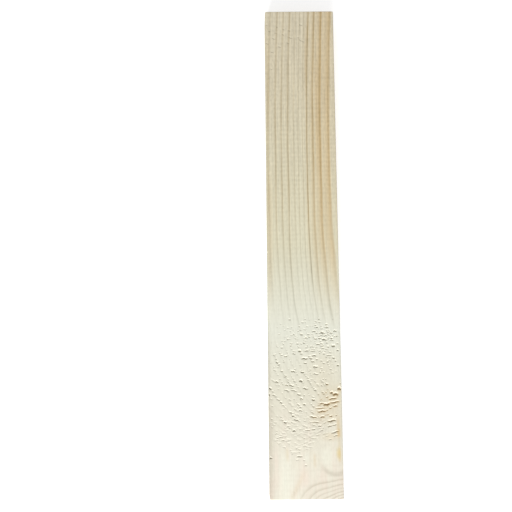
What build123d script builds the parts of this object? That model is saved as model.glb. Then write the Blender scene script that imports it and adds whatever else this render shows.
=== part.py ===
# A planed softwood plank: one straight length of timber, planed square on both faces and both
# edges and sawn square at its two ends. It is a single piece of wood, so it is a single solid.

import os

from build123d import *

# Driving dimensions, in millimetres
plank_width = 44.0  # finished width of timber sawn to 50
plank_thickness = 20.5  # finished thickness of timber sawn to 25
plank_length = 305.0  # one foot, cut square at both ends
arris_radius = 0.8  # easing left along the four long edges
end_break = 0.3  # bevel left round each sawn end

# The plank lies flat on its wide face with its length along Y. The origin is the middle of its underside.
section_plane = Plane.XZ
mid_height = plank_thickness / 2

with BuildPart() as plank:
    # The planed section, with its four arrises eased
    with BuildSketch(section_plane):
        with Locations((0, mid_height)):
            RectangleRounded(plank_width, plank_thickness, arris_radius)
    extrude(amount=plank_length / 2, both=True)

    # The saw leaves the two ends square, and their sharp rims are broken
    sawn_ends = plank.faces().filter_by(Axis.Y)
    chamfer(sawn_ends.edges(), length=end_break)

plank.part.label = "plank"

os.makedirs("parts", exist_ok=True)
export_step(plank.part, "parts/plank.step")
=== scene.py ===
import bpy, bmesh, math
import numpy as np
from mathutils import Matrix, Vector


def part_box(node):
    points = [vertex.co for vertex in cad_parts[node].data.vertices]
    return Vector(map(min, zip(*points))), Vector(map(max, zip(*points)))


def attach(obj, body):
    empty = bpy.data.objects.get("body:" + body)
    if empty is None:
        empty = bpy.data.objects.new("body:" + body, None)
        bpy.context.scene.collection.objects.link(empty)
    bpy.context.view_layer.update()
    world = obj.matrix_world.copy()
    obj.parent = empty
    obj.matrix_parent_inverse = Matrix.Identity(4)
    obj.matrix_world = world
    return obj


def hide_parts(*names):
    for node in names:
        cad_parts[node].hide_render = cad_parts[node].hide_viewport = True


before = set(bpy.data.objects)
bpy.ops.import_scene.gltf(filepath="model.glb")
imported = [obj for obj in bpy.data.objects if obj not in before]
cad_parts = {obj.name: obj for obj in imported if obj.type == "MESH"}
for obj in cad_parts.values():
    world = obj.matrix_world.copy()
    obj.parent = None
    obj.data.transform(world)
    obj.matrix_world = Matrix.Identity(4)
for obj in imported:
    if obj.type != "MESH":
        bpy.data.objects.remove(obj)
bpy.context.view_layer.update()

mm = 0.001
low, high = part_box("plank")
width, length, thickness = [round((b - a) / mm, 3) for a, b in zip(low, high)]
print("plank", width, "x", length, "x", thickness, "mm")


def linear(hexColour):
    channels = [int(hexColour[i:i + 2], 16) / 255 for i in (1, 3, 5)]
    return [c / 12.92 if c <= 0.04045 else ((c + 0.055) / 1.055) ** 2.4 for c in channels] + [1.0]


def addNode(tree, kind, settings):
    # a value that is another node's output is linked, and the rest are set
    node = tree.nodes.new(kind)
    for name, value in settings.items():
        if isinstance(value, bpy.types.NodeSocket):
            tree.links.new(value, node.inputs[name])
        elif name == "stops":
            stops = node.color_ramp.elements
            while len(stops) < len(value):
                stops.new(1.0)
            for stop, (position, colour) in zip(stops, value):
                stop.position, stop.color = position, colour
        elif isinstance(name, str) and hasattr(node, name):
            setattr(node, name, value)
        else:
            node.inputs[name].default_value = value
    return node


def smooth(value, start, end):
    share = np.clip((value - start) / (end - start), 0, 1)
    return share * share * (3 - 2 * share)


# streaks and stretches: x, y, half width, half length, sideways drift up the plank, amount
amberStreaks = [
    (19.5, -111, 1.2, 7.5, 0.0, 0.58), (-11.5, -126.5, 0.8, 3.6, 0.0, 0.34),
    (5.0, -130, 0.55, 3.8, 0.0, 0.32), (6.9, -130, 0.5, 4.2, 0.0, 0.2), (3.0, -128, 0.5, 4.0, 0.0, 0.18),
    (-5.4, -145, 1.3, 8.0, 0.5, 0.22),
    (20.2, -127.2, 0.45, 4.2, 0.0, 0.6), (11, -79, 9, 13, 0.0, 0.14), (15, -116.2, 5.5, 2.4, 0.0, 0.28),
    (10.2, 82, 1.0, 38, 0.0, 0.35), (4.0, 122, 0.9, 22, 0.03, 0.5), (19.6, -113.8, 1.3, 3.2, 0.0, 0.95),
    (19.8, -120.5, 0.8, 3.0, 0.0, 0.35), (17, -103, 4.5, 4.0, 0.0, 0.27), (-20.8, 8, 2.2, 38, 0.0, 0.36),
    (-21.0, 108, 1.6, 34, 0.0, 0.26),
]
paleStreaks = [
    (-12.3, -142, 3.4, 18, 0.0, 0.8), (-8.6, -142, 1.8, 8, 0.15, 0.5), (12.2, -128, 4.0, 5.0, 0.0, 0.55),
    (0.2, -128.3, 2.0, 2.6, 0.0, 0.5), (-5.2, -151.5, 1.6, 1.6, 0.0, 0.5), (-1.5, -148, 1.5, 4.0, 0.4, 0.4),
]
# grey streaks: painted shade along the left edge, and the wood's own grey outside the arches and above the
# knot
greyStreaksAndEdgeShade = [
    (-22, -128, 2.3, 32, 0.0, 0.38), (-22, -85, 0.9, 32, 0.0, 0.42), (-7.4, -148.6, 0.6, 3.0, 0.47, 0.16),
    (-21.2, 0, 1.7, 32, 0.0, 0.12), (9.3, -111, 4.5, 4.5, 0.0, 0.08),
]
# where a ring's line shows less, and where it shows more
fainterLines = [
    (6.4, -30, 1.5, 11, -0.1, 0.42), (-20.0, -4, 2.0, 22, -0.05, 0.45), (-15.5, -4, 1.6, 22, -0.05, 0.2),
    (-13, 132, 10, 28, 0.0, 0.26),
]
clearerLines = [
    (17.2, -46, 1.8, 12, -0.19, 1.1), (20.2, -24, 1.3, 12, -0.08, 0.6), (-4.6, -44, 1.6, 11, -0.17, 1.3),
    (-9.6, -38, 1.5, 10, -0.14, 0.5), (-13.6, -77, 1.6, 10, -0.53, 1.2), (6.0, -88.6, 1.4, 5, -0.75, 1.0),
]


def drawStreaks(x, y, streaks):
    tint = np.zeros(len(x))
    for middleX, middleY, halfWidth, halfLength, drift, amount in streaks:
        rise = y - middleY
        away = ((x - middleX - drift * rise) / halfWidth) ** 2 + (rise / halfLength) ** 4
        tint = np.maximum(tint, amount * np.exp(-away))
    return tint


# growth rings, in mm from the middle of the plank: they run along it, bend right above the knot and
# close round it, and come out as arches below it. Over is where a change starts and where it is full
grain = {
    "heart": (-85, -25),  # x and z of the middle of the trunk, outside the plank
    "bend": 41.7, "bendFrom": 90, "bendReach": 200, "bendPower": 5.7,
    "sway": 2.3, "swayFrom": 65, "swayReach": 87,  # they drift right at the far end
    # and spread apart above the torn patch, from further up on the right than on the left
    "splay": 0.06, "splayRightOver": (15, -12), "splayLeftOver": (-25, -42), "splayEndOver": (-75, -50),
    "crotch": (15, -97.5), "crotchRise": 0.68, "crotchPack": 3.08, "crotchPlace": -17.9, "crotchRound": 4.0,
    "arch": (-6.8, -140.3), "archRound": (11.7, 8.4), "archDark": 0.5,
    "archFade": 0.4, "archFadeOver": (5, -3),  # arches are fainter on the left
    "archSag": (14, 4.5, 0.65),  # and sag a little: x, half width and by how much
    "valley": -130, "valleyFall": 0.15, "valleyFade": 6,  # between the rings above and the arches
    "clearLeast": 0.12, "clearOver": (-58, -12), "clearSlope": 0.5,  # lines are faint in the torn patch
    "again": [(0.12, -60, -78), (0.05, -102, -112)],  # and show a little again: by how much, from and to
    # and are fainter on either side above it: from and to across, from and to along, by how much
    "faint": [(3, 9, 60, -5, 0.45), (2, -6, 40, -5, 0.22), (15, 18, 5, -25, 0.5)],
    "warmOver": (-55, 5),  # the amber in them, along the plank
    "knot": (17.5, -128, 14), "knotSize": (10.7, 11.5, 14),
    "knotRings": 3, "knotLine": 0.05,  # rings in it, and how dark they are
    "knotClear": 1.3,  # how many times its size other rings are whole again
    "collar": 0.1, "collarTone": (0.03, 0.32), "collarOver": (-131, -138),  # its grey rim, on the near side
    "core": (19.5, -126), "coreSize": (1.4, 5.2), "coreSlope": 0.49,  # runs down to the right edge
    "coreFadeOver": (0.2, 1.1), "coreLine": 0.25,  # in shares of its size, and how dark its rings are
    "endLine": 0.25,  # the least that a line shows on the end grain
    "rim": 2.5,  # what is drawn on the upper face alone fades out this far down the edges
}

# ring number, place across the plank at mid-length, darkness of its late wood, amber in it
upperRings = [
    (-25, -140, 0.0, 0.0), (-9, -63, 0.3, 0.0), (-7, -52.4, 0.9, 0.0), (-6, -47.5, 0.4, 0.0),
    (-5, -42.6, 0.5, 0.0), (-4, -37.5, 0.4, 0.0), (-3, -33, 0.4, 0.0), (-2, -29.1, 0.6, 0.0),
    (-1, -25, 0.5, 0.0), (0, -20.8, 0.43, 0.0), (1, -16.2, 0.57, 0.05), (2, -12.4, 0.49, 0.05),
    (3, -8.3, 0.64, 0.1), (4, -4.4, 0.24, 0.0), (5, -1.8, 0.3, 0.0), (6, 1.0, 0.22, 0.0),
    (7, 3.6, 0.9, 0.25), (8, 7.3, 0.62, 0.58), (9, 11.8, 0.64, 0.85), (10, 17.4, 0.37, 0.9),
    (10.3, 19.2, 0.4, 0.15), (11, 24, 0.6, 0.5), (12, 31, 0.6, 0.4),
]
# below the knot: ring number, level outwards from the arch, darkness
lowerRings = [
    (14, -1.6, 0.7), (13, -1.4, 0.7), (12, -1.2, 0.7), (11, -1.04, 0.8), (10, -0.882, 0.8),
    (9, -0.718, 0.85), (8, -0.515, 0.45), (7, -0.314, 0.68), (6, 0, 0.75), (5, 0.363, 0.0),
    (4, 0.75, 0.05), (3, 1.15, 0.05), (2, 1.6, 0.05), (1, 2.1, 0.05), (0, 2.7, 0.05),
]


def shellOf(middle, sizes, point):
    return np.sqrt(sum(((p - c) / s) ** 2 for p, c, s in zip(point, middle, sizes)))


def onTop(z):
    return smooth(z, thickness - grain["rim"], thickness)


def readGrain(x, y, z):
    # distance across the rings, which is x on the upper face and leans over towards the heart below it
    heartX, heartZ = grain["heart"]
    reach = (x - heartX) ** 2 + (z - heartZ) ** 2 - (thickness - heartZ) ** 2
    across = heartX + np.sqrt(np.maximum(reach, 0))

    # the rings of the trunk, and of the branch that they close round
    bend = np.maximum((grain["bendFrom"] - y) / grain["bendReach"], 0) ** grain["bendPower"]
    sway = np.maximum((y - grain["swayFrom"]) / grain["swayReach"], 0) ** 2
    apart = np.maximum(across, 0) * smooth(y, *grain["splayRightOver"])
    apart += np.minimum(across, 0) * smooth(y, *grain["splayLeftOver"])
    trunk = across - grain["bend"] * bend - grain["sway"] * sway
    trunk -= grain["splay"] * apart * smooth(y, *grain["splayEndOver"])
    crotchX, crotchY = grain["crotch"]
    branch = grain["crotchPack"] * (y - crotchY - grain["crotchRise"] * (across - crotchX))
    branch += grain["crotchPlace"]
    spread = grain["crotchRound"]
    number, place, dark, amber = zip(*upperRings)
    rings = np.interp(-spread * np.logaddexp(-trunk / spread, -branch / spread), place, number)
    least = grain["clearLeast"]
    clear = least + (1 - least) * smooth(y + grain["clearSlope"] * trunk, *grain["clearOver"])
    clear += sum(amount * smooth(y, start, end) for amount, start, end in grain["again"])
    strength = np.interp(rings, number, dark) * clear
    for fromX, toX, fromY, toY, amount in grain["faint"]:
        strength *= 1 - amount * smooth(across, fromX, toX) * smooth(y, fromY, toY)
    strength *= 1 - drawStreaks(across, y, fainterLines) * onTop(z)
    strength *= 1 + drawStreaks(across, y, clearerLines) * onTop(z)
    warmth = np.interp(rings, number, amber) * smooth(y, *grain["warmOver"])

    # the arches
    sagX, sagWidth, sagDepth = grain["archSag"]
    sunk = y + sagDepth * np.exp(-((across - sagX) / sagWidth) ** 2)
    archX, archY = grain["arch"]
    roundX, roundY = grain["archRound"]
    level = np.logaddexp((archX - across) / roundX, (sunk - archY) / roundY)
    number, place, dark = zip(*lowerRings)
    valley = grain["valley"] - grain["valleyFall"] * across
    isLower = y < valley
    rings = np.where(isLower, np.interp(level, place, number), rings)
    lowerDark = grain["archDark"] * np.interp(level, place, dark)
    lowerDark *= 1 - grain["archFade"] * smooth(across, *grain["archFadeOver"])
    strength = np.where(isLower, lowerDark, strength)
    strength *= smooth(np.abs(y - valley), 0, grain["valleyFade"])
    warmth = np.where(isLower, 0, warmth)

    # the knot's middle lies under the upper face, and its core runs out at the right edge
    collarShell = shellOf(grain["knot"], grain["knotSize"], (x, y, z))
    coreShell = shellOf(grain["core"], grain["coreSize"], (x - grain["coreSlope"] * (thickness - z), y))
    rings = np.where(collarShell < 1, grain["knotRings"] * collarShell, rings)
    rings = np.where(coreShell < 1, grain["knotRings"] * coreShell, rings)
    outside = strength * smooth(collarShell, 1, grain["knotClear"])
    strength = np.where(collarShell < 1, grain["knotLine"], outside)
    least, more = grain["collarTone"]
    collar = least + more * smooth(y, *grain["collarOver"])
    collar *= np.exp(-((collarShell - 1) / grain["collar"]) ** 2)
    core = 1 - smooth(coreShell, *grain["coreFadeOver"])
    strength = np.maximum(strength, grain["coreLine"] * core)
    return rings, strength, warmth, collar, core


# torn grain: chips that the planer's knives broke out where the rings dip towards the knot
torn = {
    "seed": 11,
    # the near rim of the patch: x and y
    "nearRim": [(-22, -117), (-15, -121), (-8, -128), (-1, -134), (3, -124), (8, -119), (12, -117.5),
                (22, -116)],
    "amber": (15, -96, 8.5, 11.5), "amberLean": 0.35,  # middle, half sizes and lean of the amber patch
    "amberTint": (0.25, 1.1),  # how amber it is between the chips, and how much more round them
    "besideX": (3, 12), "besideY": (-84, -96),  # where the grain starts to close round the knot
    # chips lean up there, more so next to the knot, and down elsewhere, in degrees
    "leanUp": 10, "leanMore": 8, "leanMoreOver": (-106, -113),
    "leanDown": 13, "leanDownOver": (-68, -85), "leanDownEndOver": (-114, -104),
    "deep": 0.66, "faintDeep": 0.4,  # depth as a share of a chip's height
    # how dark the chips' painted shade is
    "shade": 0.72, "shadeBeside": 0.14, "shadeBySize": (0.4, 0.55), "faintShade": 0.45,
    # scattered ones: tries for each, hold on the ring lines, how full a patch is, how much small ones
    # outnumber large ones, how far they stay from the edges, and how much lean and shade vary
    "tries": 60, "hug": 9, "full": 1.4, "small": 2.4, "margin": 0.5,
    "leanSpread": 12, "shadeSpread": (0.6, 1.0),
}
# the chips that stand out: x, y, length, height
tears = [
    (5.9, -53.6, 2.8, 0.8), (10.8, -54.3, 2.0, 1.5), (18.7, -53.4, 2.2, 1.1), (16.4, -54.5, 1.8, 0.9),
    (-1.7, -55.5, 1.8, 1.0), (6.7, -58.1, 1.8, 1.0), (9.3, -57.8, 2.0, 1.0), (11.8, -58.5, 2.2, 1.6),
    (16.4, -57.9, 1.1, 1.2), (8.3, -61.4, 2.6, 1.0), (11.0, -62.3, 1.6, 0.9), (17.5, -62.6, 2.2, 1.7),
    (-0.2, -60.5, 1.4, 0.9), (-2.9, -65.5, 1.9, 1.5), (1.1, -65.3, 3.2, 0.8), (5.0, -65.4, 3.0, 0.8),
    (20.1, -65.1, 1.5, 1.0), (-6.6, -66.9, 1.9, 0.9), (-11.5, -68.5, 1.9, 0.9), (5.7, -68.2, 2.8, 1.1),
    (14.7, -68.0, 3.6, 0.7), (0.0, -70.0, 4.0, 1.4), (3.7, -69.7, 2.0, 0.9), (17.5, -69.7, 1.7, 1.1),
    (4.9, -71.8, 2.0, 1.0), (0.3, -72.7, 2.2, 0.9), (6.4, -75.0, 3.0, 1.3), (20.0, -74.2, 1.4, 1.2),
    (-7.1, -77.6, 2.8, 1.2), (-1.5, -78.2, 2.4, 1.3), (6.5, -79.2, 3.6, 0.8), (-11.7, -80.2, 1.5, 0.9),
    (-2.5, -83.4, 2.2, 1.6), (-17.1, -83.8, 2.0, 1.2), (13.1, -85.4, 2.0, 1.2), (-11.2, -85.7, 2.0, 1.0),
    (-8.2, -86.1, 3.2, 1.2), (-21.3, -87.7, 2.4, 1.3), (-21.9, -91.5, 1.2, 1.8), (0.0, -87.9, 3.0, 1.2),
    (-11.2, -88.8, 3.0, 0.8), (-6.9, -89.0, 3.8, 0.8), (-18.9, -91.6, 2.0, 0.9), (-3.8, -91.5, 2.2, 1.1),
    (-2.3, -93.9, 1.8, 1.2), (4.7, -94.7, 2.0, 1.4), (-14.6, -96.1, 1.6, 1.1), (-0.7, -97.3, 1.7, 1.1),
    (-3.0, -100.9, 2.2, 1.0), (-8.9, -102.0, 2.4, 0.9), (-7.6, -104.1, 1.7, 1.3), (-5.6, -106.4, 3.0, 1.0),
    (-12.3, -107.9, 2.0, 1.3), (-7.1, -112.8, 2.0, 1.3), (-3.9, -127.8, 3.6, 0.9), (-21.2, -128.5, 1.8, 1.1),
    (1.1, -112.4, 3.2, 0.8), (4.7, -112.0, 2.2, 0.8), (8.5, -110.0, 2.0, 1.0), (-17.5, -114.3, 2.5, 0.6),
    (-15.0, -116.4, 3.0, 0.6), (-13.8, -118.1, 2.2, 0.7), (4.5, -117.2, 4.5, 0.5), (7.5, -115.2, 3.0, 0.5),
    # amber ones
    (20.5, -88.2, 2.2, 2.0), (15.9, -90.4, 2.2, 1.4), (18.2, -91.4, 3.6, 1.9), (16.5, -93.9, 5.0, 1.1),
    (9.8, -96.7, 2.8, 1.0), (12.9, -97.4, 4.2, 1.7), (17.5, -96.1, 6.2, 1.1), (18.0, -98.3, 2.8, 1.0),
    (8.8, -99.5, 5.6, 0.8), (9.8, -101.4, 5.4, 1.2), (4.7, -104.8, 4.2, 1.2), (10.1, -104.7, 3.0, 1.2),
    (15.2, -104.3, 2.0, 1.0), (15.7, -107.1, 5.4, 1.4), (5.9, -107.7, 4.4, 0.8), (14.4, -110.1, 2.8, 1.0),
    (17.2, -109.5, 2.6, 0.8), (17.5, -113.7, 4.8, 1.0), (18.0, -115.6, 3.0, 0.7),
]
# shallower and fainter ones
faintTears = [
    (-8.8, -46.3, 1.3, 1.0), (9.0, -46.0, 1.2, 1.0), (9.3, -48.0, 2.0, 0.7), (-15.4, -55.2, 2.0, 0.6),
    (-6.4, -55.3, 0.9, 1.3), (-7.8, -55.9, 1.8, 0.6), (-10.2, -58.3, 1.0, 1.0), (-4.2, -60.9, 1.6, 0.9),
    (-8.4, -62.2, 1.0, 1.0), (-13.8, -63.3, 1.6, 1.0), (1.1, -63.3, 1.3, 1.0), (13.6, -60.5, 1.2, 1.1),
    (10.2, -60.8, 1.6, 0.8), (14.3, -62.9, 1.0, 1.3), (16.2, -66.4, 1.6, 0.6), (10.0, -71.3, 1.5, 0.9),
    (18.7, -71.5, 1.0, 1.2), (-16.7, -72.3, 1.0, 1.6), (-14.0, -77.4, 1.8, 1.0), (1.8, -81.5, 1.2, 0.9),
    (4.3, -82.4, 2.0, 0.6), (-15.8, -85.9, 1.8, 0.7), (6.3, -88.4, 1.0, 0.8), (-19.6, -89.5, 1.4, 0.9),
    (-16.0, -94.4, 1.6, 0.9), (-9.4, -94.4, 1.6, 0.8), (-4.3, -97.2, 1.0, 0.9), (-13.5, -97.7, 1.8, 0.8),
    (-20.0, -98.2, 1.5, 0.6), (15.0, -99.5, 1.8, 0.9), (0.5, -102.0, 1.4, 0.6), (12.8, -103.3, 3.0, 0.6),
    (18.4, -103.8, 0.8, 1.0), (-14.9, -104.4, 1.2, 0.8), (-6.1, -104.6, 1.2, 0.9), (-14.0, -106.3, 1.6, 0.8),
    (4.8, -109.4, 2.0, 0.8), (-10.2, -110.1, 2.2, 0.6), (9.6, -112.4, 1.8, 0.9), (-20.4, -105.8, 1.4, 0.7),
    (-19.4, -109.0, 1.4, 0.6), (-20.2, -94.2, 1.4, 0.7), (-0.3, -132.9, 1.4, 0.9), (17.3, -45.9, 0.9, 0.7),
    (0.8, -48.0, 1.0, 0.6), (5.3, -50.1, 1.2, 0.6), (-3.0, -50.5, 0.8, 0.9), (10.5, -50.4, 1.0, 0.7),
    (15.3, -53.3, 1.2, 0.9), (19.8, -55.2, 0.8, 0.7), (12.2, -56.4, 0.8, 1.1), (14.4, -58.1, 0.8, 0.9),
    (-5.6, -57.6, 1.2, 0.6), (5.2, -62.9, 0.9, 0.9), (9.5, -65.1, 0.9, 0.8), (12.3, -65.5, 0.9, 0.8),
    (14.0, -64.5, 0.9, 0.7), (-17.3, -70.1, 0.8, 1.0), (-16.3, -75.1, 1.6, 0.6), (-10.2, -82.5, 0.9, 1.0),
    (-4.8, -79.4, 1.0, 0.7), (0.8, -78.9, 1.0, 0.7), (3.5, -76.6, 1.0, 0.8), (9.3, -78.1, 0.8, 1.0),
    (11.0, -82.3, 0.8, 0.8), (12.5, -82.3, 0.8, 0.8), (14.3, -79.1, 1.4, 0.6), (5.3, -87.6, 1.0, 0.8),
    (6.4, -88.6, 0.9, 0.8), (8.0, -91.1, 1.0, 0.8), (10.0, -86.1, 1.2, 0.8), (11.3, -85.1, 1.2, 0.6),
    (12.5, -90.1, 1.0, 0.7), (9.5, -94.4, 1.6, 0.6), (-4.5, -99.1, 1.2, 0.6), (-12.0, -99.1, 1.2, 0.6),
    (-0.5, -107.1, 1.4, 0.7), (-1.8, -110.9, 1.6, 0.6), (11.5, -108.1, 1.8, 0.7), (10.5, -111.1, 1.8, 0.6),
    (13.0, -100.6, 1.6, 0.7), (9.0, -106.3, 1.6, 0.6), (11.0, -114.6, 1.6, 0.6), (-4.8, -115.4, 1.2, 0.6),
    (-20.0, -110.6, 1.2, 0.6), (-17.5, -112.6, 1.0, 0.6), (-17.0, -117.0, 1.2, 0.6),
    (-1.0, -117.1, 1.4, 0.6), (2.4, -118.0, 1.6, 0.5), (4.4, -119.6, 1.4, 0.6), (1.7, -120.7, 1.2, 0.6),
    (-5.6, -122.8, 1.1, 0.8), (-4.0, -125.4, 1.2, 0.6), (-9.2, -124.0, 1.4, 0.5), (-8.2, -126.1, 1.4, 0.6),
    (14.6, -117.8, 1.8, 0.6), (-1.2, -129.8, 1.4, 0.6), (12.5, -115.9, 2.4, 0.5),
]
# the specks at the far end are softer: x, y, length
specks = [
    (-21.2, 143.2, 1.2), (-19.3, 139.0, 1.4), (-15.3, 137.8, 1.4), (-14.4, 141.8, 1.0), (-16.6, 133.9, 1.6),
    (-13.0, 128.4, 1.7), (-20.9, 130.7, 1.8), (-17.6, 124.8, 1.7), (-6.4, 139.2, 1.3), (-5.9, 134.5, 2.4),
    (-7.4, 130.8, 1.2), (-10.2, 140.1, 1.0), (-10.5, 136.6, 1.2), (0.9, 143.2, 2.0), (0.4, 132.9, 1.4),
    (1.9, 132.1, 1.8), (-0.8, 134.6, 0.9), (-18.2, 113.4, 1.0),
]
speck = {"stretch": 1.4, "height": 1.3, "lean": -20, "deep": 0.07, "shade": 0.44}
# the small ones: how many, middle and half sizes of their patch, hold on the ring lines, ranges, most shade
smallTears = [
    {"count": 270, "patch": (-2, -80, 25, 36), "hold": 1.0,
     "length": (0.6, 2.1), "height": (0.55, 0.95), "deep": (0.2, 0.5), "shade": 0.42},
    {"count": 70, "patch": (11, -59, 12, 14), "hold": 0.3,
     "length": (0.7, 1.6), "height": (0.7, 1.2), "deep": (0.4, 0.75), "shade": 0.4},
    {"count": 40, "patch": (-2, -56, 19, 12), "hold": 0.0,
     "length": (0.8, 1.6), "height": (0.6, 1.0), "deep": (0.15, 0.4), "shade": 0.35},
    {"count": 130, "patch": (-4, -114, 19, 17), "hold": 0.0,
     "length": (1.4, 3.2), "height": (0.8, 1.3), "deep": (0.1, 0.2), "shade": 0.08},
]


def besideKnot(x, y):
    return smooth(x, *torn["besideX"]) * smooth(y, *torn["besideY"])


def leanOf(x, y):
    beside = besideKnot(x, y)
    up = torn["leanUp"] + torn["leanMore"] * smooth(y, *torn["leanMoreOver"])
    down = torn["leanDown"] * smooth(y, *torn["leanDownOver"]) * smooth(y, *torn["leanDownEndOver"])
    return up * beside - down * (1 - beside)


def scatterTears():
    # each chip: x, y, length, height, lean, depth, shade
    dice = np.random.default_rng(torn["seed"])
    rimX, rimY = zip(*torn["nearRim"])
    least, bySize = torn["shadeBySize"]
    found = []
    for x, y, along, across in tears:
        shade = (torn["shade"] - torn["shadeBeside"] * besideKnot(x, y)) * min(least + bySize * across, 1)
        found.append((x, y, along, across, leanOf(x, y), torn["deep"] * across, shade))
    for x, y, along, across in faintTears:
        found.append((x, y, along, across, leanOf(x, y), torn["faintDeep"] * across, torn["faintShade"]))
    for x, y, along in specks:
        size = (speck["stretch"] * along, speck["height"])
        found.append((x, y, *size, speck["lean"], speck["deep"], speck["shade"]))
    placed = len(found)
    for kind in smallTears:
        middleX, middleY, halfX, halfY = kind["patch"]
        away = dice.uniform(-1, 1, (2, torn["tries"] * kind["count"]))
        x, y = middleX + halfX * away[0], middleY + halfY * away[1]
        rings = readGrain(x, y, np.full(len(x), thickness))[0]
        onLine = (1 - 2 * np.abs(rings - np.round(rings))) ** torn["hug"]
        chance = np.clip(torn["full"] * (1 - (away ** 2).sum(axis=0)), 0, 1)
        chance *= 1 - kind["hold"] * (1 - onLine)
        inside = (np.abs(x) < width / 2 - torn["margin"]) & (y > np.interp(x, rimX, rimY))
        kept = np.nonzero(inside & (dice.random(len(x)) < chance))[0][:kind["count"]]
        size = dice.random(len(kept)) ** torn["small"]
        along, across = [a + (b - a) * size for a, b in (kind["length"], kind["height"])]
        lean = leanOf(x[kept], y[kept]) + dice.uniform(-torn["leanSpread"], torn["leanSpread"], len(kept))
        deep = across * dice.uniform(*kind["deep"], len(kept))
        shade = kind["shade"] * dice.uniform(*torn["shadeSpread"], len(kept))
        found += list(zip(x[kept], y[kept], along, across, lean, deep, shade))
    print("torn grain", placed, "chips placed and", len(found) - placed, "scattered")
    return found


# one chip, in shares of its half length and its height: steep on the near side, where it let go, and a
# ramp beyond
chip = {
    "drop": 0.25,  # how far below its place it starts
    "wave": 0.12, "waveAlong": 5, "waveByPlace": 3,  # how its rims waver
    "taper": 0.6,
    "wall": 0.25, "wallSize": 0.2,  # the steep side, and the least it is in mm
    # a chip's shade is painted shade where its near wall falls into shadow, with darker torn fibre ends as
    # well
    "shadeAt": 0.3, "shadeSoft": 0.22, "shadeSofter": 0.06,  # its shade, softer beside the knot
    "coverLong": 1.05, "coverHigh": 0.75,  # the amber round it
    # the far rim is paler, fresh torn fibre, and carries a painted highlight where it faces the lamp
    "lipAt": 0.9, "lipSoft": 0.28,  # and its light far rim
}


def sinkTears(points, found):
    depth, dark, cover, lipAndHighlight = np.zeros((4, len(points)))
    for x, y, along, across, lean, deep, shade in found:
        dx, dy = points[:, 0] - x, points[:, 1] - y
        near = np.nonzero((np.abs(dx) < along) & (np.abs(dy) < along + across))[0]
        dx, dy = dx[near], dy[near]
        turn = math.radians(lean)
        reach = (dx * math.cos(turn) + dy * math.sin(turn)) / (along / 2)
        rise = (dy * math.cos(turn) - dx * math.sin(turn)) / across + chip["drop"]
        rise += chip["wave"] * np.sin(reach * chip["waveAlong"] + x * chip["waveByPlace"])
        lens = np.clip(1 - reach ** 2, 0, 1) ** chip["taper"]
        step = max(chip["wall"], chip["wallSize"] / across)
        wall = np.clip(np.minimum(rise / step, (1 - rise) / (1 - step)), 0, 1)
        depth[near] = np.maximum(depth[near], deep * lens * wall)
        # painted shade on the near side of each chip, where its own shadow falls
        soft = chip["shadeSoft"] + chip["shadeSofter"] * besideKnot(x, y)
        shaded = np.exp(-((rise - chip["shadeAt"]) / soft) ** 2)
        dark[near] = np.maximum(dark[near], shade * lens * shaded)
        away = (reach / chip["coverLong"]) ** 4 + ((rise - chip["shadeAt"]) / chip["coverHigh"]) ** 2
        cover[near] = np.maximum(cover[near], shade * np.exp(-away))
        # a painted highlight on the far rim, over paler torn fibre
        light = np.exp(-((rise - chip["lipAt"]) / chip["lipSoft"]) ** 2)
        lipAndHighlight[near] = np.maximum(lipAndHighlight[near], lens * light * min(2 * deep / across, 1))
    return depth, dark, cover, lipAndHighlight


# the block that all this is cut into, in mm
block = {
    "cell": 1.25,
    "longCell": 2.5, "longFrom": -40, "longTo": 110,  # longer faces between the torn patch and the specks
    "arris": 0.8, "endBreak": 0.3,
    "lead": [0, 0.1, 0.35, 0.8],  # first cuts in from each side, over its arris
    "cuts": 5, "spare": 0.7,  # faces under a chip are cut finer, and those this share of a cell beyond it
    "touch": 0.01,  # nearer than this counts as on the face
    "sharp": 40,  # degrees
}
# what each point carries for the wood's colours, among them painted shade in the chips, a painted highlight
# on their far rims and painted shade along the left edge
carried = (
    "ringCount", "lineStrength", "warmth", "amberPatch", "amberTint", "paleTint", "greyTint",
    "knotCore", "tornShade", "tornLip", "sawnEnd",
)


def stations(size, lead):
    # cuts across a side, close together over its edges
    middle = np.linspace(lead[-1], size - lead[-1], round((size - 2 * lead[-1]) / block["cell"]) + 1)
    return np.concatenate([lead[:-1], middle, size - np.array(lead[-2::-1])])


def rowsAlong():
    edge = length / 2 - block["endBreak"]
    start, end = block["longFrom"], block["longTo"]
    spans = [(-edge, start, block["cell"]), (start, end, block["longCell"]), (end, edge, block["cell"])]
    rows = [np.linspace(a, b, round((b - a) / step), endpoint=False) for a, b, step in spans]
    return np.concatenate([[-length / 2], *rows, [edge, length / 2]])


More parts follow.
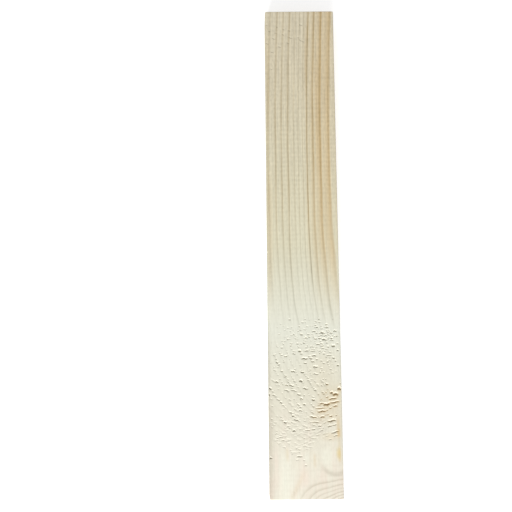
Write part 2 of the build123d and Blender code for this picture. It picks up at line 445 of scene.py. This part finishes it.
def buildPlank():
    columns = stations(width, block["lead"]) - width / 2
    layers = stations(thickness, block["lead"])
    rows = rowsAlong()
    bm = bmesh.new()
    bmesh.ops.create_grid(bm, x_segments=len(columns) - 1, y_segments=len(layers) - 1, size=0.5)
    for v in bm.verts:
        column = round((v.co.x + 0.5) * (len(columns) - 1))
        layer = round((v.co.y + 0.5) * (len(layers) - 1))
        v.co = (columns[column], 0, layers[layer])
    swept = bmesh.ops.extrude_face_region(bm, geom=bm.faces[:])["geom"]
    bmesh.ops.translate(bm, verts=[g for g in swept if isinstance(g, bmesh.types.BMVert)], vec=(0, 1, 0))
    longEdges = [e for e in bm.edges if abs(e.verts[0].co.y - e.verts[1].co.y) > 0.5]
    bmesh.ops.subdivide_edges(bm, edges=longEdges, cuts=len(rows) - 2, use_grid_fill=True)
    for v in bm.verts:
        v.co.y = rows[round(v.co.y * (len(rows) - 1))]
    print("block", len(bm.faces), "faces")

    # finer wherever a chip is out, whose middle is above its place and whose lean adds to its height
    found = scatterTears()
    x, y, along, across = np.array(found).T[:4]
    spare = block["spare"] * block["cell"]
    fine = set()
    for f in bm.faces:
        middle = f.calc_center_median()
        if middle.z > thickness - block["touch"]:
            beside = np.abs(middle.x - x) < along / 2 + spare
            level = np.abs(middle.y - y - across / 4) < across / 2 + along / 8 + spare
            if np.any(beside & level):
                fine.update(f.edges)
    bmesh.ops.subdivide_edges(bm, edges=list(fine), cuts=block["cuts"], use_grid_fill=True)

    points = np.array([v.co[:] for v in bm.verts])
    pits, dark, cover, lipAndHighlight = np.zeros((4, len(points)))
    upper = points[:, 2] > thickness - block["touch"]
    pits[upper], dark[upper], cover[upper], lipAndHighlight[upper] = sinkTears(points[upper], found)

    # round the arrises and break the rims of the ends
    half = np.array([width, thickness]) / 2
    offset = points[:, [0, 2]] - (0, half[1])
    inner = np.clip(offset, block["arris"] - half, half - block["arris"])
    corner = offset - inner
    pull = np.abs(corner).max(axis=1) / np.maximum(np.hypot(*corner.T), block["touch"])
    pull[np.abs(corner).min(axis=1) < block["touch"]] = 1
    offset = inner + corner * pull[:, None]
    isEnd = np.abs(points[:, 1]) > length / 2 - block["touch"]
    offset[isEnd] *= 1 - block["endBreak"] / half
    points[:, 0], points[:, 2] = offset[:, 0], offset[:, 1] + half[1]

    # what the wood's colours go by is read before the pits are sunk
    rings, strength, warmth, collar, core = readGrain(*points.T)
    strength = np.where(isEnd, grain["endLine"] + (1 - grain["endLine"]) * strength, strength)
    across, along = points.T[:2]
    amberX, amberY, halfX, halfY = torn["amber"]
    rise = along - amberY
    sideways = across - amberX - torn["amberLean"] * rise
    patch = np.exp(-(sideways / halfX) ** 4 - (rise / halfY) ** 4) * upper
    least, more = torn["amberTint"]
    tint = np.maximum(patch * (least + more * cover), drawStreaks(across, along, amberStreaks) * upper)
    pale = drawStreaks(across, along, paleStreaks) * upper
    # the knot's grey rim, and grey streaks, which along the left edge are painted shade
    greyAndShade = np.maximum(collar, drawStreaks(across, along, greyStreaksAndEdgeShade) * onTop(points[:, 2]))
    points[:, 2] -= pits
    for v, p in zip(bm.verts, points):
        v.co = p * mm
    bmesh.ops.recalc_face_normals(bm, faces=bm.faces[:])
    for f in bm.faces:
        f.smooth = True
    mesh = bpy.data.meshes.new("plankBoard")
    bm.to_mesh(mesh)
    bm.free()
    mesh.set_sharp_from_angle(angle=math.radians(block["sharp"]))
    held = (rings, strength, warmth, patch, tint, pale, greyAndShade, core, dark, lipAndHighlight, isEnd)
    for name, values in zip(carried, held):
        mesh.attributes.new(name, "FLOAT", "POINT").data.foreach_set("value", values.astype(np.float32))
    piece = bpy.data.objects.new("plankBoard", mesh)
    bpy.context.collection.objects.link(piece)
    mesh.calc_loop_triangles()
    print("plank mesh", len(mesh.loop_triangles), "triangles")
    return piece


# planed softwood, knife-cut and unfinished: matt and pale, with late-wood lines that turn amber to the
# right and grey towards the knot, and faint ripples across it from the knives
wood = {
    # early wood along the plank, from the knot's end: y in mm and colour. It is whiter and less yellow at
    # the knot's end, partly as painted light, since that end takes the most light
    "earlyWoodAndLight": [(-142, "#EFE9D8"), (-90, "#E9E5D2"), (-52, "#EEEEDE"), (0, "#E8E3C8"), (35, "#E7E0C4"),
                  (110, "#E4DABF"), (152, "#E6DCC2")],
    # the grey also colours the painted shade along the left edge
    "rosyWood": "#F1E3D3", "paleWood": "#F4F3E2", "amberWood": "#DFC79B", "greyWoodAndShade": "#A99E8A",
    "lateWood": "#B8A57E", "amberLine": "#B4935A", "mistyLine": "#A5A490", "archLine": "#B5A78F",
    # the torn colours are mostly painted shade in the chips, grey-brown and amber, and the lip is partly a
    # painted highlight
    "knotCore": "#E8D39E", "tornWoodAndShade": "#857A62", "tornAmberAndShade": "#8D6A3C", "tornLip": "#FBF8E8",
    "endGrain": "#D0C7B6",
    # how dark a ring is from its start to its end, above the knot and below it
    "lineProfile": [(0.0, 0.02), (0.5, 0.02), (0.68, 0.35), (0.79, 1.0), (0.91, 1.0), (0.97, 0.15),
                    (1.0, 0.02)],
    "archProfile": [(0.0, 0.2), (0.3, 0.05), (0.5, 0.2), (0.82, 1.0), (0.9, 1.0), (1.0, 0.2)],
    "lineShift": 0.72, "lineWaver": 0.22,  # in rings: puts a line on its ring's place, and lets it wander
    "lineEven": 0.55, "lineUneven": 0.9,  # how dark lines are, and how that changes along them
    "amberEven": 0.4, "amberRipe": 0.6,  # amber from a ring's start, and more to its end
    "rosyOver": (0.45, 0.75),
    # what changes along the plank: from and to in mm, and its amount at either end
    "below": (-95, -135, 0.0, 0.9), "misty": (20, -35, 0.0, 1.0),
    "plain": (-50, 90, 0.45, 1.35), "planed": (-50, 40, 0.4, 1.0),
    # width and length of each pattern in mm, and how many finer ones it carries. Real fibres and pores are
    # finer than a pixel, so fibre and tooth are drawn coarser to show
    "waver": (5, 40, 2), "rosy": (5, 22, 2), "fibre": (0.8, 30, 3), "tooth": (1.2, 2.8, 2),
    "fibreTone": 0.34, "toothTone": 0.26, "toneLevel": -0.30,  # light and dark from them
    "fibreDepth": 0.03, "toothDepth": 0.05,  # mm
    "knifePitch": 2.9, "knifeDepth": 0.07, "knifeWander": 4.0,  # mm, mm and radians
    # the end cuts, arcs about a point below the plank
    "sawPitch": 1.7, "sawDepth": 0.12, "sawMiddle": (-70, -95),
    "sawWander": 2.5, "sawDetail": 2.0, "sawDetailScale": 0.6,
    "roughness": 0.74, "specular": 0.16,
}


def planedSoftwood():
    material = bpy.data.materials.new("planed softwood")
    material.use_nodes = True
    tree = material.node_tree
    tree.nodes.clear()
    coords = addNode(tree, "ShaderNodeTexCoord", {}).outputs["Object"]
    place = addNode(tree, "ShaderNodeSeparateXYZ", {0: coords}).outputs
    ring, strength, warmth, patch, tint, pale, greyAndShade, core, shade, lipAndHighlight, end = [
        addNode(tree, "ShaderNodeAttribute", {"attribute_name": name}).outputs["Fac"] for name in carried]
    noise = {}
    for name in ("waver", "rosy", "fibre", "tooth"):
        wide, long, detail = wood[name]
        scale = [1 / (size * mm) for size in (wide, long, wide)]
        drawn = addNode(tree, "ShaderNodeMapping", {"Vector": coords, "Scale": scale}).outputs[0]
        noise[name] = addNode(tree, "ShaderNodeTexNoise", {
            "Vector": drawn, "Scale": 1.0, "Detail": detail}).outputs["Fac"]
    along = {}
    for name in ("below", "misty", "plain", "planed"):
        start, stop, first, last = wood[name]
        along[name] = addNode(tree, "ShaderNodeMapRange", {
            "Value": place["Y"], "From Min": start * mm, "From Max": stop * mm,
            "To Min": first, "To Max": last}).outputs[0]

    # each ring darkens slowly to its line, which ends sharply, and below the knot it comes and goes softly
    shifted = addNode(tree, "ShaderNodeMath", {
        "operation": "MULTIPLY_ADD", 0: noise["waver"], 1: wood["lineWaver"], 2: ring}).outputs[0]
    phase = addNode(tree, "ShaderNodeMath", {
        "operation": "ADD", 0: shifted, 1: wood["lineShift"]}).outputs[0]
    share = addNode(tree, "ShaderNodeMath", {"operation": "FRACT", 0: phase}).outputs[0]
    line, arch = [
        addNode(tree, "ShaderNodeValToRGB", {
            "Fac": share, "stops": [(p, [v, v, v, 1]) for p, v in wood[name]]}).outputs[0]
        for name in ("lineProfile", "archProfile")]
    line = addNode(tree, "ShaderNodeMix", {0: along["below"], 2: line, 3: arch}).outputs[0]
    late = addNode(tree, "ShaderNodeMath", {"operation": "MULTIPLY", 0: line, 1: strength}).outputs[0]
    uneven = addNode(tree, "ShaderNodeMath", {
        "operation": "MULTIPLY_ADD", 0: noise["rosy"], 1: wood["lineUneven"],
        2: wood["lineEven"]}).outputs[0]
    late = addNode(tree, "ShaderNodeMath", {"operation": "MULTIPLY", 0: late, 1: uneven}).outputs[0]
    ripen = addNode(tree, "ShaderNodeMath", {
        "operation": "MULTIPLY_ADD", 0: share, 1: wood["amberRipe"], 2: wood["amberEven"]}).outputs[0]
    amber = addNode(tree, "ShaderNodeMath", {
        "operation": "MULTIPLY_ADD", 0: ripen, 1: warmth, 2: tint}).outputs[0]

    # early wood changes along the plank, whiter at the knot's end partly as painted light, and is rosy in
    # streaks below the knot
    lengthwise = addNode(tree, "ShaderNodeMapRange", {
        "Value": place["Y"], "From Min": -length / 2 * mm, "From Max": length / 2 * mm}).outputs[0]
    stops = [(y / length + 0.5, linear(colour)) for y, colour in wood["earlyWoodAndLight"]]
    earlyAndLight = addNode(tree, "ShaderNodeValToRGB", {"Fac": lengthwise, "stops": stops}).outputs[0]
    least, most = wood["rosyOver"]
    streaked = addNode(tree, "ShaderNodeMapRange", {
        "Value": noise["rosy"], "From Min": least, "From Max": most}).outputs[0]
    rosy = addNode(tree, "ShaderNodeMath", {
        "operation": "MULTIPLY", 0: along["below"], 1: streaked}).outputs[0]

    # the lines' own colour, and the torn wood's, which is mostly painted shade in the chips
    warmer = addNode(tree, "ShaderNodeMath", {"operation": "MULTIPLY", 0: warmth, 1: warmth}).outputs[0]
    lineTone = linear(wood["lateWood"])
    for amount, tone in ((warmer, "amberLine"), (along["misty"], "mistyLine"), (along["below"], "archLine")):
        lineTone = addNode(tree, "ShaderNodeMix", {
            "data_type": "RGBA", 0: amount, 6: lineTone, 7: linear(wood[tone])}).outputs[2]
    tornToneAndShade = addNode(tree, "ShaderNodeMix", {
        "data_type": "RGBA", 0: patch, 6: linear(wood["tornWoodAndShade"]), 7: linear(wood["tornAmberAndShade"])}).outputs[2]

    # fibres show most on the clear wood, towards the far end
    mottle = wood["toneLevel"]
    for name in ("tooth", "fibre"):
        mottle = addNode(tree, "ShaderNodeMath", {
            "operation": "MULTIPLY_ADD", 0: noise[name], 1: wood[name + "Tone"], 2: mottle}).outputs[0]
    grainTone = addNode(tree, "ShaderNodeMath", {
        "operation": "MULTIPLY_ADD", 0: mottle, 1: along["plain"], 2: 1.0}).outputs[0]

    colour = earlyAndLight
    for kind, amount, over in (
            ("MIX", rosy, linear(wood["rosyWood"])), ("MIX", pale, linear(wood["paleWood"])),
            ("MIX", amber, linear(wood["amberWood"])), ("MIX", late, lineTone),
            # the grey is the knot's rim, and painted shade along the left edge
            ("MIX", greyAndShade, linear(wood["greyWoodAndShade"])), ("MIX", core, linear(wood["knotCore"])),
            # the lip is paler torn fibre with a painted highlight
            ("MULTIPLY", 1.0, grainTone), ("MIX", lipAndHighlight, linear(wood["tornLip"])),
            # the torn tone is mostly painted shade in the chips
            ("MIX", shade, tornToneAndShade), ("MULTIPLY", end, linear(wood["endGrain"]))):
        colour = addNode(tree, "ShaderNodeMix", {
            "data_type": "RGBA", "blend_type": kind, 0: amount, 6: colour, 7: over}).outputs[2]

    # knife ripples across the plank, and the fibres' own tooth
    passes = addNode(tree, "ShaderNodeMath", {
        "operation": "MULTIPLY", 0: place["Y"], 1: 2 * math.pi / (wood["knifePitch"] * mm)}).outputs[0]
    turns = addNode(tree, "ShaderNodeMath", {
        "operation": "MULTIPLY_ADD", 0: noise["rosy"], 1: wood["knifeWander"], 2: passes}).outputs[0]
    height = addNode(tree, "ShaderNodeMath", {"operation": "SINE", 0: turns}).outputs[0]
    for amount in (along["planed"], noise["waver"], wood["knifeDepth"] / 2):
        height = addNode(tree, "ShaderNodeMath", {"operation": "MULTIPLY", 0: height, 1: amount}).outputs[0]
    for name in ("fibre", "tooth"):
        height = addNode(tree, "ShaderNodeMath", {
            "operation": "MULTIPLY_ADD", 0: noise[name], 1: wood[name + "Depth"], 2: height}).outputs[0]
    # the ends show the saw as well, in arcs
    sawX, sawZ = wood["sawMiddle"]
    about = addNode(tree, "ShaderNodeMapping", {
        "Vector": coords, "Location": (-sawX * mm, 0, -sawZ * mm)}).outputs[0]
    saw = addNode(tree, "ShaderNodeTexWave", {
        "Vector": about, "wave_type": "RINGS", "rings_direction": "Y",
        "Scale": math.pi / 10 / (wood["sawPitch"] * mm), "Distortion": wood["sawWander"],
        "Detail": wood["sawDetail"], "Detail Scale": wood["sawDetailScale"]}).outputs["Fac"]
    sawn = addNode(tree, "ShaderNodeMath", {
        "operation": "MULTIPLY_ADD", 0: saw, 1: wood["sawDepth"], 2: height}).outputs[0]
    height = addNode(tree, "ShaderNodeMix", {0: end, 2: height, 3: sawn}).outputs[0]
    bump = addNode(tree, "ShaderNodeBump", {"Distance": mm, "Height": height}).outputs[0]
    shader = addNode(tree, "ShaderNodeBsdfPrincipled", {
        "Base Color": colour, "Roughness": wood["roughness"], "Specular IOR Level": wood["specular"],
        "Normal": bump}).outputs[0]
    addNode(tree, "ShaderNodeOutputMaterial", {"Surface": shader})
    return material


piece = buildPlank()
piece.data.materials.append(planedSoftwood())
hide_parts("plank")
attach(piece, "root")
print("plank dressed")

# sizes and places in metres, key in watts
studio = {
    "floor": "#F2F2F2", "floorSize": 1.5, "lift": 0.52, "world": 0.5,
    "key": 15.4, "keyPlace": (-0.20, -1.17, 0.73), "keySize": 0.45,
}


def seenRays(tree):
    # 1 where something is seen straight, in a gloss or through glass
    rays = addNode(tree, "ShaderNodeLightPath", {}).outputs
    seen = rays["Is Camera Ray"]
    for ray in ("Is Glossy Ray", "Is Transmission Ray"):
        seen = addNode(tree, "ShaderNodeMath", {"operation": "MAXIMUM", 0: seen, 1: rays[ray]}).outputs[0]
    return seen


def paleFloor():
    bm = bmesh.new()
    bmesh.ops.create_grid(bm, x_segments=1, y_segments=1, size=studio["floorSize"])
    mesh = bpy.data.meshes.new("floor")
    bm.to_mesh(mesh)
    bm.free()
    floor = bpy.data.objects.new("floor", mesh)
    bpy.context.collection.objects.link(floor)
    # matt and pale, lifted to white where it is seen, and its shadows stay
    material = bpy.data.materials.new("pale floor")
    material.use_nodes = True
    tree = material.node_tree
    tree.nodes.clear()
    matt = addNode(tree, "ShaderNodeBsdfDiffuse", {"Color": linear(studio["floor"])}).outputs[0]
    lift = addNode(tree, "ShaderNodeMath", {
        "operation": "MULTIPLY", 0: seenRays(tree), 1: studio["lift"]}).outputs[0]
    glow = addNode(tree, "ShaderNodeEmission", {"Strength": lift}).outputs[0]
    both = addNode(tree, "ShaderNodeAddShader", {0: matt, 1: glow}).outputs[0]
    addNode(tree, "ShaderNodeOutputMaterial", {"Surface": both})
    mesh.materials.append(material)


def softLight():
    world = bpy.data.worlds.new("studio")
    bpy.context.scene.world = world
    world.use_nodes = True
    tree = world.node_tree
    tree.nodes.clear()
    # it is white where it is seen, and lights the plank less than that
    level = addNode(tree, "ShaderNodeMapRange", {
        "Value": seenRays(tree), "To Min": studio["world"], "To Max": 1.0}).outputs[0]
    sky = addNode(tree, "ShaderNodeBackground", {"Color": [1, 1, 1, 1], "Strength": level}).outputs[0]
    addNode(tree, "ShaderNodeOutputWorld", {"Surface": sky})
    lamp = bpy.data.lights.new("key", "AREA")
    lamp.shape = "SQUARE"
    lamp.size = studio["keySize"]
    lamp.energy = studio["key"]
    key = bpy.data.objects.new("key", lamp)
    key.location = studio["keyPlace"]
    key.rotation_euler = (-key.location).to_track_quat("-Z", "Y").to_euler()
    bpy.context.collection.objects.link(key)


# camera, in mm, degrees and pixels: almost straight down, tipped towards the far end
view = {
    "place": (-29.52, -73.32, 493.28), "tip": 8.007, "roll": -0.459,
    "lensPixels": 773.45, "picturePixels": 512, "sensor": 36, "nearest": 10,
}


def lookDown():
    lens = bpy.data.cameras.new("camera")
    lens.sensor_width = view["sensor"]
    lens.lens = view["sensor"] * view["lensPixels"] / view["picturePixels"]
    lens.clip_start = view["nearest"] * mm
    camera = bpy.data.objects.new("camera", lens)
    camera.location = [c * mm for c in view["place"]]
    camera.rotation_euler = (math.radians(view["tip"]), 0, math.radians(view["roll"]))
    bpy.context.collection.objects.link(camera)
    bpy.context.scene.camera = camera


paleFloor()
softLight()
lookDown()
bpy.context.scene.view_settings.view_transform = "Standard"
print("studio set")
